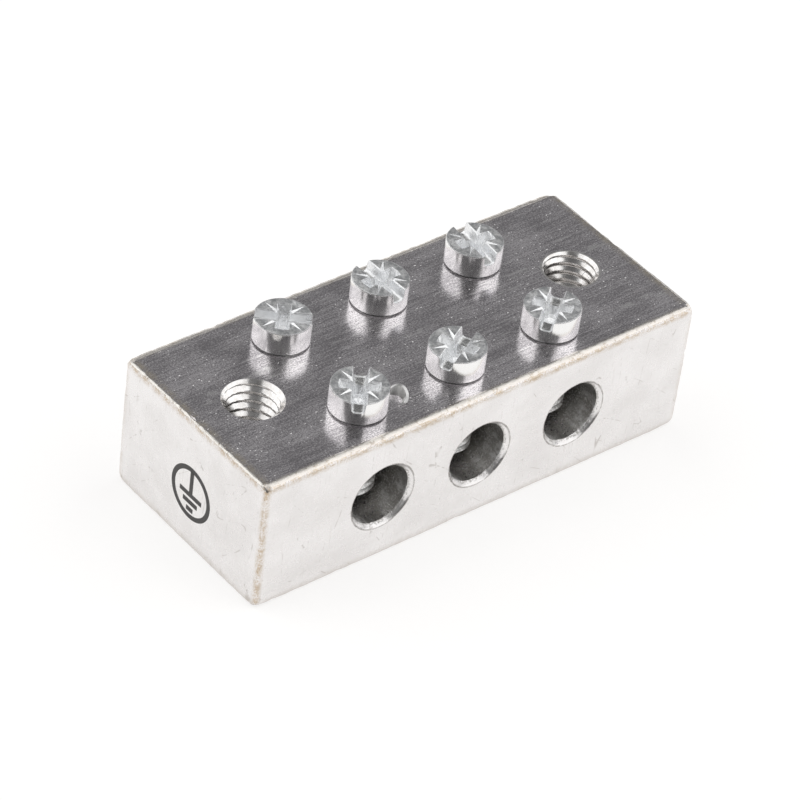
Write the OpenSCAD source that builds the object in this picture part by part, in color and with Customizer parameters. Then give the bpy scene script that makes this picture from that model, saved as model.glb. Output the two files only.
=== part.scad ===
// Earth terminal block: a plated brass bar with three cable bores through it, two clamp screws over each bore
// and a threaded mounting hole at each end.
// X runs along the bar, Y from the front face to the back face and Z up.
// The origin is the middle of the underside.

/* [Bar] */
// Width of the bar, from its front face to its back face
bar_w = 15; // [14:0.1:18]
// Height of the bar
bar_h = 10; // [9.5:0.1:12]
// How far the broken long edges of the top reach onto the top face
top_break_w = 0.44; // [0.1:0.02:0.56]
// How far the broken long edges of the top reach down the front and back faces
top_break_h = 0.17; // [0.05:0.01:0.3]
// Chamfer along the long edges of the underside
foot_chamfer = 0.15; // [0.05:0.05:0.3]
// Chamfer around both sawn ends of the bar
end_chamfer = 0.12; // [0.05:0.01:0.3]

/* [Cable bores] */
// Distance between neighbouring cable bores
bore_pitch = 8; // [7:0.1:10]
// Diameter of a cable bore
bore_d = 4.5; // [4:0.1:5]
// Height of the bores' centre line above the underside
bore_z = 5; // [4.6:0.1:5.2]
// How far the countersink widens the mouth of a bore all round
mouth_widening = 0.4; // [0.1:0.05:0.6]
// Included angle of the countersink at a bore's mouths
mouth_angle = 118; // [90:1:130]

/* [Mounting holes] */
// Thread diameter of the mounting holes
mount_d = 4; // [3:0.5:5]
// Distance from an outer cable bore to the mounting hole beside it
mount_gap = 5.25; // [5.2:0.05:8]
// Distance from a mounting hole to the end of the bar
end_gap = 4.5; // [3.5:0.1:8]
// Chamfer at both mouths of a mounting hole
mount_chamfer = 0.1; // [0.04:0.02:0.3]

/* [Clamp screws] */
// Thread diameter of the clamp screws
screw_d = 3.5; // [3:0.1:3.8]
// Radial play of a screw's thread in its tapped hole
thread_play = 0.05; // [0.02:0.01:0.1]
// Distance from a row of screws to the long face beside it
row_inset = 3.45; // [3:0.05:4]
// How far a head stands out past the thread all round
head_overhang = 0.2; // [0.2:0.05:0.5]
// Height of a head
head_h = 1.7; // [1.6:0.1:2.4]
// Small chamfer on the top and bottom edges of a head
head_rim = 0.08; // [0.02:0.01:0.12]
// Space left between a head and the bar
head_gap = 0.12; // [0.1:0.02:0.5]
// Space left between a screw's tip and the floor of its bore
tip_gap = 0.75; // [0.4:0.05:1.5]
// Chamfer on the tip of a screw
tip_chamfer = 0.5; // [0.2:0.05:0.8]
// Chamfer at the mouth of a tapped screw hole
tapping_chamfer = 0.12; // [0.04:0.02:0.18]
// Slot directions of the front screws from left to right, in degrees from the length of the bar
front_turns = [50, 28, 38]; // [0:1:180]
// Slot directions of the back screws from left to right, in degrees from the length of the bar
back_turns = [139, 92, 84]; // [0:1:180]

/* [Screw recess] */
// Width of the driving slot
slot_w = 0.95; // [0.7:0.05:1]
// Depth of the driving slot
slot_depth = 0.8; // [0.6:0.05:1]
// Radius in the bottom corners of the driving slot
slot_corner_r = 0.28; // [0.1:0.02:0.34]
// How far the top edges of the driving slot are broken
shoulder = 0.08; // [0.04:0.02:0.14]
// Reach of the cross wings from the screw's centre, at the top of the head
wing_reach = 1.4; // [1.1:0.05:1.45]
// Width of the cross wings at their floor
wing_floor_w = 0.5; // [0.3:0.05:0.6]
// Width of the cross wings at the top of the head
wing_mouth_w = 0.95; // [0.65:0.05:1.05]
// Depth of the cross recess
wing_depth = 1.35; // [1.05:0.05:1.4]
// Slope of the cross wings' end walls, in degrees from the screw's axis
wing_slope = 26; // [15:1:30]
// Diameter of the blunt point at the bottom of the cross recess
point_d = 0.68; // [0.4:0.02:0.8]
// Depth of the blunt point below the floor of the cross recess
point_depth = 0.19; // [0.05:0.01:0.25]
// Width of the four tick marks at their inner end
tick_w = 0.36; // [0.2:0.02:0.4]
// Depth of the four tick marks at their inner end
tick_depth = 0.24; // [0.1:0.02:0.28]
// Margin between the outer end of a tick mark and the rim of the head
tick_margin = 0.14; // [0.1:0.02:0.3]

/* [Hidden] */
$fn = 96;
// Overshoot of a cutting shape past the face that it opens
over = 0.5;
nickel = [0.78, 0.77, 0.75];
zinc = [0.80, 0.82, 0.84];
mount_x = bore_pitch + mount_gap;
row_y = bar_w / 2 - row_inset;
bar_l = 2 * (mount_x + end_gap);
head_r = screw_d / 2 + head_overhang;
shank_r = screw_d / 2 - thread_play;
bore_floor = bore_z - bore_d / 2;
shank_l = bar_h + head_gap - bore_floor - tip_gap;
tick_inner = wing_mouth_w / 2;
tick_outer = head_r - tick_margin;

// Rectangle with equally chamfered corners, centred on the first axis and standing on it
module chamfered_section(w, h, c) {
  polygon([[c - w / 2, 0], [w / 2 - c, 0], [w / 2, c], [w / 2, h - c],
    [w / 2 - c, h], [c - w / 2, h], [-w / 2, h - c], [-w / 2, c]]);
}

// Cross-section of the drawn bar with its long edges broken
module bar_section() {
  polygon([[foot_chamfer - bar_w / 2, 0], [bar_w / 2 - foot_chamfer, 0], [bar_w / 2, foot_chamfer],
    [bar_w / 2, bar_h - top_break_h], [bar_w / 2 - top_break_w, bar_h], [top_break_w - bar_w / 2, bar_h],
    [-bar_w / 2, bar_h - top_break_h], [-bar_w / 2, foot_chamfer]]);
}

// A section in the Y-Z plane drawn out along X
module along_x(l) {
  rotate([90, 0, 90]) linear_extrude(l, center = true) children();
}

// A section in the X-Z plane drawn out along Y
module along_y(l) {
  rotate([90, 0, 0]) linear_extrude(l, center = true) children();
}

// Drawn bar cut to length and deburred around both ends
module bar() {
  intersection() {
    along_x(bar_l) bar_section();
    along_y(bar_w + over) chamfered_section(bar_l, bar_h, end_chamfer);
    translate([0, -bar_w / 2, -over]) linear_extrude(bar_h + 2 * over)
      chamfered_section(bar_l, bar_w, end_chamfer);
  }
}

// Cone that widens a hole of diameter d at the face z = 0, with the material below
module countersink(d, widening, angle) {
  depth = widening / tan(angle / 2);
  reach = over * tan(angle / 2);
  translate([0, 0, -depth]) cylinder(h = depth + over, d1 = d, d2 = d + 2 * widening + 2 * reach);
}

// Through hole along Z, centred, countersunk at both faces
module through_hole(d, l, widening, angle) {
  cylinder(h = l + 2 * over, d = d, center = true);
  for (end = [0, 180]) rotate([end, 0, 0]) translate([0, 0, l / 2]) countersink(d, widening, angle);
}

// Tapped hole from the top face down into the cable bore below it, at its nominal thread diameter
module tapped_hole() {
  translate([0, 0, bore_z]) cylinder(h = bar_h - bore_z + over, d = screw_d);
  translate([0, 0, bar_h]) countersink(screw_d, tapping_chamfer, 90);
}

// U-shaped driving slot with broken top edges, below the plane z = 0
module driving_slot() {
  along_x(2 * head_r + 2 * over) {
    translate([-slot_w / 2, slot_corner_r - slot_depth]) square([slot_w, slot_depth - slot_corner_r + over]);
    translate([slot_corner_r - slot_w / 2, -slot_depth]) square([slot_w - 2 * slot_corner_r, slot_depth]);
    for (side = [-1, 1]) translate([side * (slot_w / 2 - slot_corner_r), slot_corner_r - slot_depth])
      circle(slot_corner_r);
    polygon([[-slot_w / 2, -shoulder], [slot_w / 2, -shoulder],
      [slot_w / 2 + shoulder + over, over], [-slot_w / 2 - shoulder - over, over]]);
  }
}

// One pair of cross wings along X: flared side walls and sloping end walls
module wing_pair() {
  end_run = tan(wing_slope);
  flare = (wing_mouth_w - wing_floor_w) / 2 / wing_depth;
  intersection() {
    along_x(2 * head_r) polygon([[-wing_floor_w / 2, -wing_depth], [wing_floor_w / 2, -wing_depth],
      [wing_mouth_w / 2 + flare * over, over], [-wing_mouth_w / 2 - flare * over, over]]);
    along_y(2 * head_r) polygon([
      [wing_depth * end_run - wing_reach, -wing_depth], [wing_reach - wing_depth * end_run, -wing_depth],
      [wing_reach + over * end_run, over], [-wing_reach - over * end_run, over]]);
  }
}

// Blunt point below the floor of the cross, drawn up to the floor of the slot
module recess_point() {
  shaft = wing_depth - slot_depth;
  translate([0, 0, -wing_depth]) rotate_extrude()
    polygon([[0, -point_depth], [point_d / 2, 0], [point_d / 2, shaft], [0, shaft]]);
}

// Shallow V groove along X that runs out at its outer end
module tick_mark() {
  run = tick_outer - tick_inner;
  fall = atan(tick_depth / run);
  translate([tick_outer, 0, 0]) rotate([0, -fall, 0]) rotate([90, 0, -90])
    linear_extrude(run / cos(fall)) polygon([[0, 0],
      [tick_w * (tick_depth + over) / tick_depth / 2, tick_depth + over],
      [-tick_w * (tick_depth + over) / tick_depth / 2, tick_depth + over]]);
}

// Combined slot and cross recess with a point at its bottom and four tick marks between the wings
module recess() {
  driving_slot();
  for (turn = [0, 90]) rotate(turn) wing_pair();
  recess_point();
  for (turn = [45:90:315]) rotate(turn) tick_mark();
}

// Clamp screw with its head resting on z = 0, its slot turned from the X axis
module clamp_screw(turn) {
  difference() {
    rotate_extrude() polygon([[0, -shank_l], [shank_r - tip_chamfer, -shank_l],
      [shank_r, tip_chamfer - shank_l], [shank_r, 0], [head_r - head_rim, 0], [head_r, head_rim],
      [head_r, head_h - head_rim], [head_r - head_rim, head_h], [0, head_h]]);
    translate([0, 0, head_h]) rotate(turn) recess();
  }
}

// Clamp screw over the bore of a column and in the front row (-1) or the back row (1)
module placed_screw(column, row, turn) {
  translate([column * bore_pitch, row * row_y, bar_h + head_gap]) clamp_screw(turn);
}

module terminal_block() {
  color(nickel) difference() {
    bar();
    for (column = [-1:1]) translate([column * bore_pitch, 0, 0]) {
      translate([0, 0, bore_z]) rotate([90, 0, 0]) through_hole(bore_d, bar_w, mouth_widening, mouth_angle);
      for (row = [-1, 1]) translate([0, row * row_y, 0]) tapped_hole();
    }
    for (side = [-1, 1]) translate([side * mount_x, 0, bar_h / 2])
      through_hole(mount_d, bar_h, mount_chamfer, 90);
  }
}

module clamp_screw_front_left() { color(zinc) placed_screw(-1, -1, front_turns[0]); }
module clamp_screw_front_middle() { color(zinc) placed_screw(0, -1, front_turns[1]); }
module clamp_screw_front_right() { color(zinc) placed_screw(1, -1, front_turns[2]); }
module clamp_screw_back_left() { color(zinc) placed_screw(-1, 1, back_turns[0]); }
module clamp_screw_back_middle() { color(zinc) placed_screw(0, 1, back_turns[1]); }
module clamp_screw_back_right() { color(zinc) placed_screw(1, 1, back_turns[2]); }

terminal_block();
clamp_screw_front_left();
clamp_screw_front_middle();
clamp_screw_front_right();
clamp_screw_back_left();
clamp_screw_back_middle();
clamp_screw_back_right();
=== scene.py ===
"""Earth terminal block: a plated brass bar with worn edges, mounting threads and six clamp screws."""
import math
import random
from itertools import product
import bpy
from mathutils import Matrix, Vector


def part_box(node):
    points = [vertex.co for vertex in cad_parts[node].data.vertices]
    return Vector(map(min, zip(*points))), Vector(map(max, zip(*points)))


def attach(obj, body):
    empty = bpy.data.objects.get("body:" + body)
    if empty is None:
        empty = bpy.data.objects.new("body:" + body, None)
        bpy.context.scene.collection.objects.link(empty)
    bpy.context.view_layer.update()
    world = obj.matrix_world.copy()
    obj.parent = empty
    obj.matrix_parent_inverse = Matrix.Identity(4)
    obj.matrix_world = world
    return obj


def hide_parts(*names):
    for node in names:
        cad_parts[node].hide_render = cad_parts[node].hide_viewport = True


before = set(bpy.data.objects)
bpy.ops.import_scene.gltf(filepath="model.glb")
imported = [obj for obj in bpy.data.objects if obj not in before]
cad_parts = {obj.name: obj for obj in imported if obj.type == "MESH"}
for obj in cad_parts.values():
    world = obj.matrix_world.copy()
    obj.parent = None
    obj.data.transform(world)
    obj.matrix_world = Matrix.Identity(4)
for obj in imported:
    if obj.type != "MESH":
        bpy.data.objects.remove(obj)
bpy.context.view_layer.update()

from types import SimpleNamespace

import bmesh
import bpy
from mathutils import Matrix, Vector, noise

MM = 0.001

# The camera at the photograph's angle: place in millimetres, heading, downward pitch and roll in degrees
CAMERA_PLACE = Vector((-140.39, -149.46, 170.49))
CAMERA_HEADING = 43.08
CAMERA_PITCH = 39.04
CAMERA_ROLL = 7.67
CAMERA_LENS = 180.0
CAMERA_SENSOR = 36.0
CAMERA_CLIP = 10

# Two soft lamps: degrees aside of the camera and above the floor, millimetres away and across, brightness
LAMP_ASIDE = 82
LAMP_HEIGHT = 42
LAMP_DISTANCE = 480
LAMP_WIDTH, LAMP_TALL = 860, 620
LAMP_BRIGHTNESS = 0.81

# The dim studio around: brightness, gain at the sides, share left behind the camera and gain overhead
SURROUND = 0.235
SURROUND_RISE = 0.2
SURROUND_DIP = 0.5
DIP_RANGE = (0.25, 0.75)
SURROUND_ABOVE = 0.58
ABOVE_RANGE = (0.84, 0.95)

# The floor: glow near the block, millimetres over which it rises to 1, tint, grey, half size, squares
FLOOR_GLOW = 0.68
FLOOR_NEAR, FLOOR_FAR = 80.0, 400.0
FLOOR_TINT = (1.0, 0.99, 0.98, 1)
FLOOR_GREY = 0.42
FLOOR_HALF = 1500
FLOOR_SQUARES = 8

# Lengths from here on are in millimetres; OVER is how far a cutter runs past a face
OVER = 0.5
ROUND_SIDES = 96
SMOOTH_ANGLE = 35.0

# The bar and its broken edges; a table's keys 0, 1 and 2 stand for the axes
BLOCK = "terminal_block"
BAR_LOW, BAR_HIGH = (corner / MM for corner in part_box(BLOCK))
BAR_SIZE = BAR_HIGH - BAR_LOW
SIGNS = (-1, 1)
BOX_CORNERS = list(product(SIGNS, repeat=3))
LONG_BREAK = {2: 0.44, 1: 0.17}
FOOT_BREAK = 0.15
END_BREAK = 0.12
LEAST_BREAK_SHARE = 0.4
CORNER_WEAR = 0.16
CORNER_REACH = 0.45
CORNER_BULGE = 0.02
EDGE_STEP = 0.14
EDGE_BULGE = {0: 0.05, 1: 0.16, 2: 0.16}
# Fine and coarse unevenness of the edges along each axis
EDGE_UNEVEN = {0: (0.04, 0.03), 1: (0.05, 0.03), 2: (0.05, 0.03)}
# Noise along an edge: waves per millimetre, spread from edge to edge, and a layer of its own
FINE_NOISE = (2.6, 7.3, 0.5)
COARSE_NOISE = (0.45, 3.1, 4.5)
NICK_SEED = 11
NICKS_PER_HALF_MM = 0.6
NICK_DEPTH = {0: 0.05, 1: 0.07, 2: 0.07}
NICK_HALF_WIDTHS = (0.12, 0.4)
NICK_DEPTH_SHARES = (0.4, 1.0)
# A larger nick in the top edge of the marked end: place along it, half width and depth
END_NICK = (0.4, 0.32, 0.16)
END_NICK_EDGE = (1, -1, 1)

# The cable bores
BORE_PITCH = 8.0
BORE_R = 2.25
BORE_Z = 5.0
BORE_COLUMNS = (-1, 0, 1)
BORE_SIDES = 144
MOUTH_R = 2.53
# Radius and depth of a bore's mouth from the face inwards, and how ragged it is at each step
MOUTH_PROFILE = [(MOUTH_R, 0.0), (2.50, 0.07), (2.44, 0.12), (2.37, 0.17), (2.31, 0.23), (BORE_R, 0.29)]
MOUTH_RAG = [0.6, 0.8, 1.0, 1.6, 2.0, 2.4]
# The raggedness: waves around the mouth, waves of its finer part, spread between bores, and both heights
RAG_WAVES = 4
RAG_FINER = 2.7
RAG_SPREAD = 5
RAG_COARSE = 0.02
RAG_FINE = 0.03

# The mounting holes at the left (-1) and right (1), and the clamp screws' holes
MOUNT_X = 13.25
MOUNT_CREST_R = 1.70
MOUNT_PITCH = 0.7
MOUNT_STEPS = 20
MOUNT_MOUTH_R = {-1: 2.08, 1: 1.92}
MOUNT_ROOT_R = {-1: 2.0, 1: 1.93}
TAPPED_R = 1.75
TAPPED_MOUTH_R = 1.87

# The clamp screws
HEAD_R = 1.95
HEAD_H = 1.7
HEAD_RIM = 0.08
HEAD_FOOT = 0.03
RIM_ANGLES = (90, 60, 30, 0)
COLLAR_R = 1.86
COLLAR_TIP_R = 1.66
COLLAR_H = 0.22
COLLAR_STRAIGHT = 0.02
SHANK_R = 1.70
SHANK_ROOT_R = 1.36
SHANK_PITCH = 0.6
SHANK_STEPS = 10
NECK_SLOPE = 1.2
TIP_BREAK = 0.5
# Share of a thread's half turn that each flat takes, and that the flank between them takes
THREAD_FLAT = 0.1
THREAD_FLANK = 0.8

# The slot, the cross and the tick marks of the screw heads
SLOT_W = 0.95
SLOT_DEPTH = 0.8
SLOT_CORNER = 0.28
SLOT_CORNER_STEPS = 6
SLOT_DRAFT = 0.03
SHOULDER = 0.08
# The slot's rounded top edge in shoulders: outwards from its wall, and down
SHOULDER_PROFILE = [(0.75, 0.25), (0.35, 0.9), (0.1, 2.0)]
SHOULDER_END_IN = 0.01
SHOULDER_END_DOWN = 4.0
CUTTER_RISE = 0.2
WING_REACH = 1.4
WING_FLOOR_W = 0.5
WING_MOUTH_W = 0.95
WING_DEPTH = 1.35
WING_SLOPE = 26.0
WING_NOSE = 0.07
POINT_R = 0.34
POINT_DEPTH = 0.19
POINT_TIP_R = 0.02
POINT_SIDES = 32
TICK_W = 0.36
TICK_DEPTH = 0.24
TICK_INNER = 0.475
TICK_OUTER = 1.81
TICK_TURNS = (45, 135, 225, 315)
TICK_RISE = 0.1
RECESS_BREAK = 0.045
RECESS_BREAK_STEPS = 3
RECESS_SHARP_ANGLE = 28
# Points closer than this are merged; edges below a height and the rim's level edges aren't softened
MERGE_WITHIN = 0.002
SOFT_FROM_Z = 0.1
RIM_LEVEL = 0.01
RIM_REACH = 1.3

# Each clamp screw: its place in the names, and its slot's direction in degrees from the bar's length
SCREW_TURNS = {
    "front_left": 50, "front_middle": 28, "front_right": 38,
    "back_left": 139, "back_middle": 92, "back_right": 84,
}

# The printed sign: middle on the end face, radius, stroke and how far the ink stands out
SIGN_MIDDLE = Vector((0.15, 4.25))
SIGN_R = 2.05
SIGN_STROKE = 0.36
SIGN_INK = 0.008
SIGN_MERGE_WITHIN = 0.0005
# How many strokes inside the ring's outline the stem ends
STEM_END_IN = 0.9
# Width of each bar of the sign, and the drop of its lower edge in strokes
SIGN_BARS = [(2.3, 1.0), (1.5, 2.6), (0.7, 4.2)]

# The curled chip: place, first angle and sweep in degrees, radius and how far it closes, height at its ends
CHIP_X, CHIP_Y = -5.55, -4.75
CHIP_STEPS = 30
CHIP_START = 105
CHIP_SWEEP = 205
CHIP_R = 0.66
CHIP_CLOSING = 0.08
CHIP_END_H = 0.08
# Its rise between the ends, how that is stretched and moved along it, its lean, and its thickness and swell
CHIP_RISE = 0.6
CHIP_STRETCH, CHIP_MOVE = 1.05, 0.12
CHIP_LEAN = 0.24
CHIP_THICK = 0.05
CHIP_SWELL = 0.06
CHIP_TOP_SHARE = 0.9

NICKEL_SLOT = "nickel_plated_brass"
ZINC_SLOT = "zinc_plated_steel"

# Noises of the nickel plate: waves per millimetre along each axis, detail and roughness
NICKEL_NOISES = {
    "lines": ((0.12, 5.0, 5.0), 3.0, 0.65),
    "dashes": ((1.1, 13.0, 13.0), 2.0, 0.6),
    "grain": ((8.0, 10.0, 9.0), 2.0, 0.8),
    "cloud": ((0.30, 0.4, 0.4), 3.0, 0.55),
    "smudge": ((0.9, 1.6, 1.0), 5.0, 0.65),
    "uneven": ((2.4, 2.4, 2.4), 4.0, 0.65),
    "upright": ((7.0, 7.0, 0.6), 3.0, 0.6),
    "crumbs": ((8.0, 8.0, 8.0), 2.0, 0.6),
    "specks": ((4.5, 7.0, 7.0), 1.0, 0.5),
    "drawn": ((0.035, 0.8, 0.8), 0.0, 0.5),
    "steep": ((0.7, 0.7, 0.1), 0.0, 0.5),
    "smears": ((1.7, 0.8, 1.7), 4.0, 0.65),
}
SLANT_NOISE = ((0.1, 0.1, 0.7), 0.0, 0.5)
SLANT_AXIS = (1.0, -1.0, 0.0)
SLANT_ANGLE = 0.9

# Noises of the zinc plate
ZINC_NOISES = {
    "cloud": ((0.8, 0.8, 0.8), 3.0, 0.5),
    "grain": ((6.0, 6.0, 6.0), 3.0, 0.75),
    "dents": ((2.2, 2.2, 2.2), 3.0, 0.5),
    "swell": ((0.7, 0.7, 0.7), 1.0, 0.5),
    "drawn": ((4.0, 4.0, 0.5), 3.0, 0.6),
}
# How far apart the screws lie in their noises
SCREW_SPREAD = 60.0

# Colours of the nickel plate and the brass below it
TOP_DARK, TOP_LIGHT = (0.40, 0.38, 0.40, 1), (0.95, 0.915, 0.94, 1)
TOP_SCRATCH = (1.0, 0.985, 0.98, 1)
TOP_SPECK = (1.0, 0.99, 0.985, 1)
SIDE_DARK, SIDE_LIGHT = (0.80, 0.78, 0.77, 1), (0.87, 0.852, 0.845, 1)
SIDE_SMUDGE = (0.65, 0.61, 0.58, 1)
SIDE_MARK = (0.69, 0.655, 0.63, 1)
SIDE_SCRATCH = (0.42, 0.385, 0.35, 1)
# Bore wall colours, partly wear and partly painted light and shade: darker deep inside, lighter near the
# mouth
BORE_DEEP_SHADE = (0.52, 0.505, 0.48, 1)
BORE_RUBBED_LIT, BORE_SMEARED = (0.62, 0.605, 0.585, 1), (1.0, 0.995, 0.985, 1)
MOUTH_DIRT = (0.30, 0.28, 0.255, 1)
SIDE_STAIN, TOP_STAIN = (0.54, 0.43, 0.31, 1), (0.80, 0.72, 0.61, 1)
END_BRASS, LONG_BRASS = (0.98, 0.95, 0.89, 1), (0.90, 0.86, 0.805, 1)
DARK_BRASS = (0.30, 0.21, 0.13, 1)
# Painted shade: the darker colour towards the bottom of the bar stands in for the floor's contact shade
FOOT_SHADE = (0.50, 0.46, 0.425, 1)
THREAD_DARK, THREAD_LIGHT = (0.78, 0.755, 0.735, 1), (0.95, 0.935, 0.925, 1)

# Colours of the zinc plate
RECESS_DARK, RECESS_LIGHT = (0.92, 0.93, 0.945, 1), (0.99, 0.995, 1.0, 1)
# Painted shade: the slot floor's darker colour stands in for the shade and dark reflection in the slot
SLOT_FLOOR_SHADE = (0.46, 0.46, 0.455, 1)
HEAD_SIDE_DARK, HEAD_SIDE_LIGHT = (0.85, 0.845, 0.835, 1), (0.96, 0.955, 0.945, 1)
STAMPED_DARK, STAMPED_LIGHT = (0.48, 0.49, 0.50, 1), (0.96, 0.96, 0.96, 1)
SHANK_DARK, SHANK_LIGHT = (0.50, 0.50, 0.495, 1), (0.92, 0.92, 0.91, 1)
# Dark colour in the thread roots: partly dirt, partly painted shade
SHANK_GROOVE_DIRT_AND_SHADE = (0.16, 0.16, 0.155, 1)
COLLAR_PALE = (0.86, 0.86, 0.85, 1)

# The chip's bare streaked metal and the patchy ink: noise, colours, slope and start of roughness, and height
CHIP_LOOK = (((9.0, 9.0, 2.0), 3.0, 0.6), ((0.42, 0.415, 0.41, 1), (0.80, 0.795, 0.79, 1)), (0.2, 0.22), 0.01)
INK_LOOK = (((2.5, 2.5, 2.5), 4.0, 0.6), ((0.045, 0.042, 0.042, 1), (0.125, 0.118, 0.115, 1)),
            (0.3, 0.4), 0.004)


# Mesh helpers

def add_to_scene(name, data):
    """Links a new object that shows the given data."""
    made = bpy.data.objects.new(name, data)
    bpy.context.scene.collection.objects.link(made)
    return made


def new_object(name, bm):
    """Links an object made from a bmesh that is in millimetres at its place in the frame."""
    mesh = bpy.data.meshes.new(name)
    bmesh.ops.recalc_face_normals(bm, faces=bm.faces)
    bm.to_mesh(mesh)
    bm.free()
    return add_to_scene(name, mesh)


def keep_result(target):
    """Replaces the target's mesh by what its modifiers make of it."""
    depsgraph = bpy.context.evaluated_depsgraph_get()
    old = target.data
    result = bpy.data.meshes.new_from_object(target.evaluated_get(depsgraph))
    target.modifiers.clear()
    target.data = result
    result.name = target.name
    bpy.data.meshes.remove(old)


def cut_away(target, cutter):
    """Subtracts the cutter from the target and removes it."""
    step = target.modifiers.new("cut", "BOOLEAN")
    step.operation = "DIFFERENCE"
    step.solver = "EXACT"
    step.object = cutter
    keep_result(target)
    old = cutter.data
    bpy.data.objects.remove(cutter)
    bpy.data.meshes.remove(old)


def shade(target):
    """Smooth shading that keeps sharp edges and lets the large faces stay flat."""
    target.data.shade_smooth()
    target.data.set_sharp_from_angle(angle=math.radians(SMOOTH_ANGLE))
    step = target.modifiers.new("flat_faces", "WEIGHTED_NORMAL")
    step.keep_sharp = True
    keep_result(target)


def add_rings(bm, rings):
    """Skins a list of rings of points of equal count and closes both ends."""
    loops = [[bm.verts.new(p) for p in ring] for ring in rings]
    count = len(loops[0])
    for low, high in zip(loops, loops[1:]):
        for i in range(count):
            j = (i + 1) % count
            bm.faces.new((low[i], low[j], high[j], high[i]))
    bm.faces.new(list(reversed(loops[0])))
    bm.faces.new(loops[-1])


def ring_points(radius, z, count):
    """A ring about Z whose radius may depend on the angle."""
    points = []
    for i in range(count):
        angle = 2 * math.pi * i / count
        r = radius(angle, z) if callable(radius) else radius
        points.append(Vector((r * math.cos(angle), r * math.sin(angle), z)))
    return points


def thread_wave(angle, z, pitch):
    """0 at the root and 1 at the crest of a single-start thread with flats on both."""
    phase = (z / pitch - angle / (2 * math.pi)) % 1.0
    return min(1.0, max(0.0, (abs(phase - 0.5) * 2 - THREAD_FLAT) / THREAD_FLANK))


# The bar

def others(axis):
    """The two other axes."""
    return [a for a in range(3) if a != axis]


def edge_noise(along, number, kind):
    """Repeatable noise at a place along an edge, different for each edge's number."""
    waves, spread, layer = kind
    return noise.noise(Vector((along * waves, number * spread, layer)))


def nick_list(rng, length, count, depth):
    """Places, half widths and depths of small nicks along an edge."""
    nicks = []
    for _ in range(count):
        place = rng.uniform(-length / 2, length / 2)
        half_width = rng.uniform(*NICK_HALF_WIDTHS)
        nicks.append((place, half_width, depth * rng.uniform(*NICK_DEPTH_SHARES)))
    return nicks


def nicked(along, nicks):
    """What the nicks add to an edge's width at a place along it."""
    return sum(depth * math.exp(-((along - place) / width) ** 2) for place, width, depth in nicks)


def edge_width(along, reach, base, number, nicks, uneven):
    """Width of a broken edge on one face at a place along it; it grows towards both corners."""
    fine, coarse = uneven
    corner = CORNER_WEAR * math.exp(-(reach - abs(along)) / CORNER_REACH)
    ragged = fine * edge_noise(along, number, FINE_NOISE) + coarse * edge_noise(along, number, COARSE_NOISE)
    return max(LEAST_BREAK_SHARE * base, base + corner + ragged + nicked(along, nicks))


def edge_settings(half):
    """Base width, number, nicks and unevenness of each edge, for each of its two faces."""
    rng = random.Random(NICK_SEED)
    settings = {}
    number = 0
    for along in range(3):
        count = int(half[along] * NICKS_PER_HALF_MM)
        for su, sv in product(SIGNS, repeat=2):
            nicks = nick_list(rng, 2 * half[along], count, NICK_DEPTH[along])
            if (along, su, sv) == END_NICK_EDGE:
                nicks.append(END_NICK)
            for face_axis in others(along):
                base = END_BREAK
                if along == 0:
                    base = LONG_BREAK[face_axis] if sv > 0 else FOOT_BREAK
                number += 1
                settings[along, su, sv, face_axis] = (base, number, nicks, EDGE_UNEVEN[along])
    return settings


def edge_ends(along, su, sv):
    """The signs of the two box corners that an edge joins."""
    u, v = others(along)
    signs = {u: su, v: sv}
    return [tuple(signs.get(axis, end) for axis in range(3)) for end in SIGNS]


def side_row(sides, axis, sign, along, other_sign):
    """The row of points along one side of the flat face on an axis."""
    signs = {axis: sign, 3 - axis - along: other_sign}
    u, v = others(along)
    return sides[along, signs[u], signs[v], axis]


def add_flats(bm, sides):
    """The six flat faces, each inside the rows of points along its four sides."""
    for axis, sign in product(range(3), SIGNS):
        a, b = others(axis)
        loop = side_row(sides, axis, sign, a, -1)[:-1] + side_row(sides, axis, sign, b, 1)[:-1]
        loop += reversed(side_row(sides, axis, sign, a, 1)[1:])
        loop += reversed(side_row(sides, axis, sign, b, -1)[1:])
        bm.faces.new(loop)


def add_corner_tips(bm, corners, ridges):
    """A rounded tip at each corner, between its three flat faces and its three edges."""
    for signs in BOX_CORNERS:
        ends = []
        for along in (2, 0, 1):
            u, v = others(along)
            ridge = ridges[along, signs[u], signs[v]]
            ends.append(ridge[0] if signs[along] < 0 else ridge[-1])
        loop = [corners[signs, 0], ends[0], corners[signs, 1], ends[1], corners[signs, 2], ends[2]]
        centre = sum((p.co for p in loop), Vector()) / len(loop)
        tip = bm.verts.new(centre + Vector(signs).normalized() * CORNER_BULGE)
        for first, second in zip(loop, loop[1:] + loop[:1]):
            bm.faces.new((first, second, tip))


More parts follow.
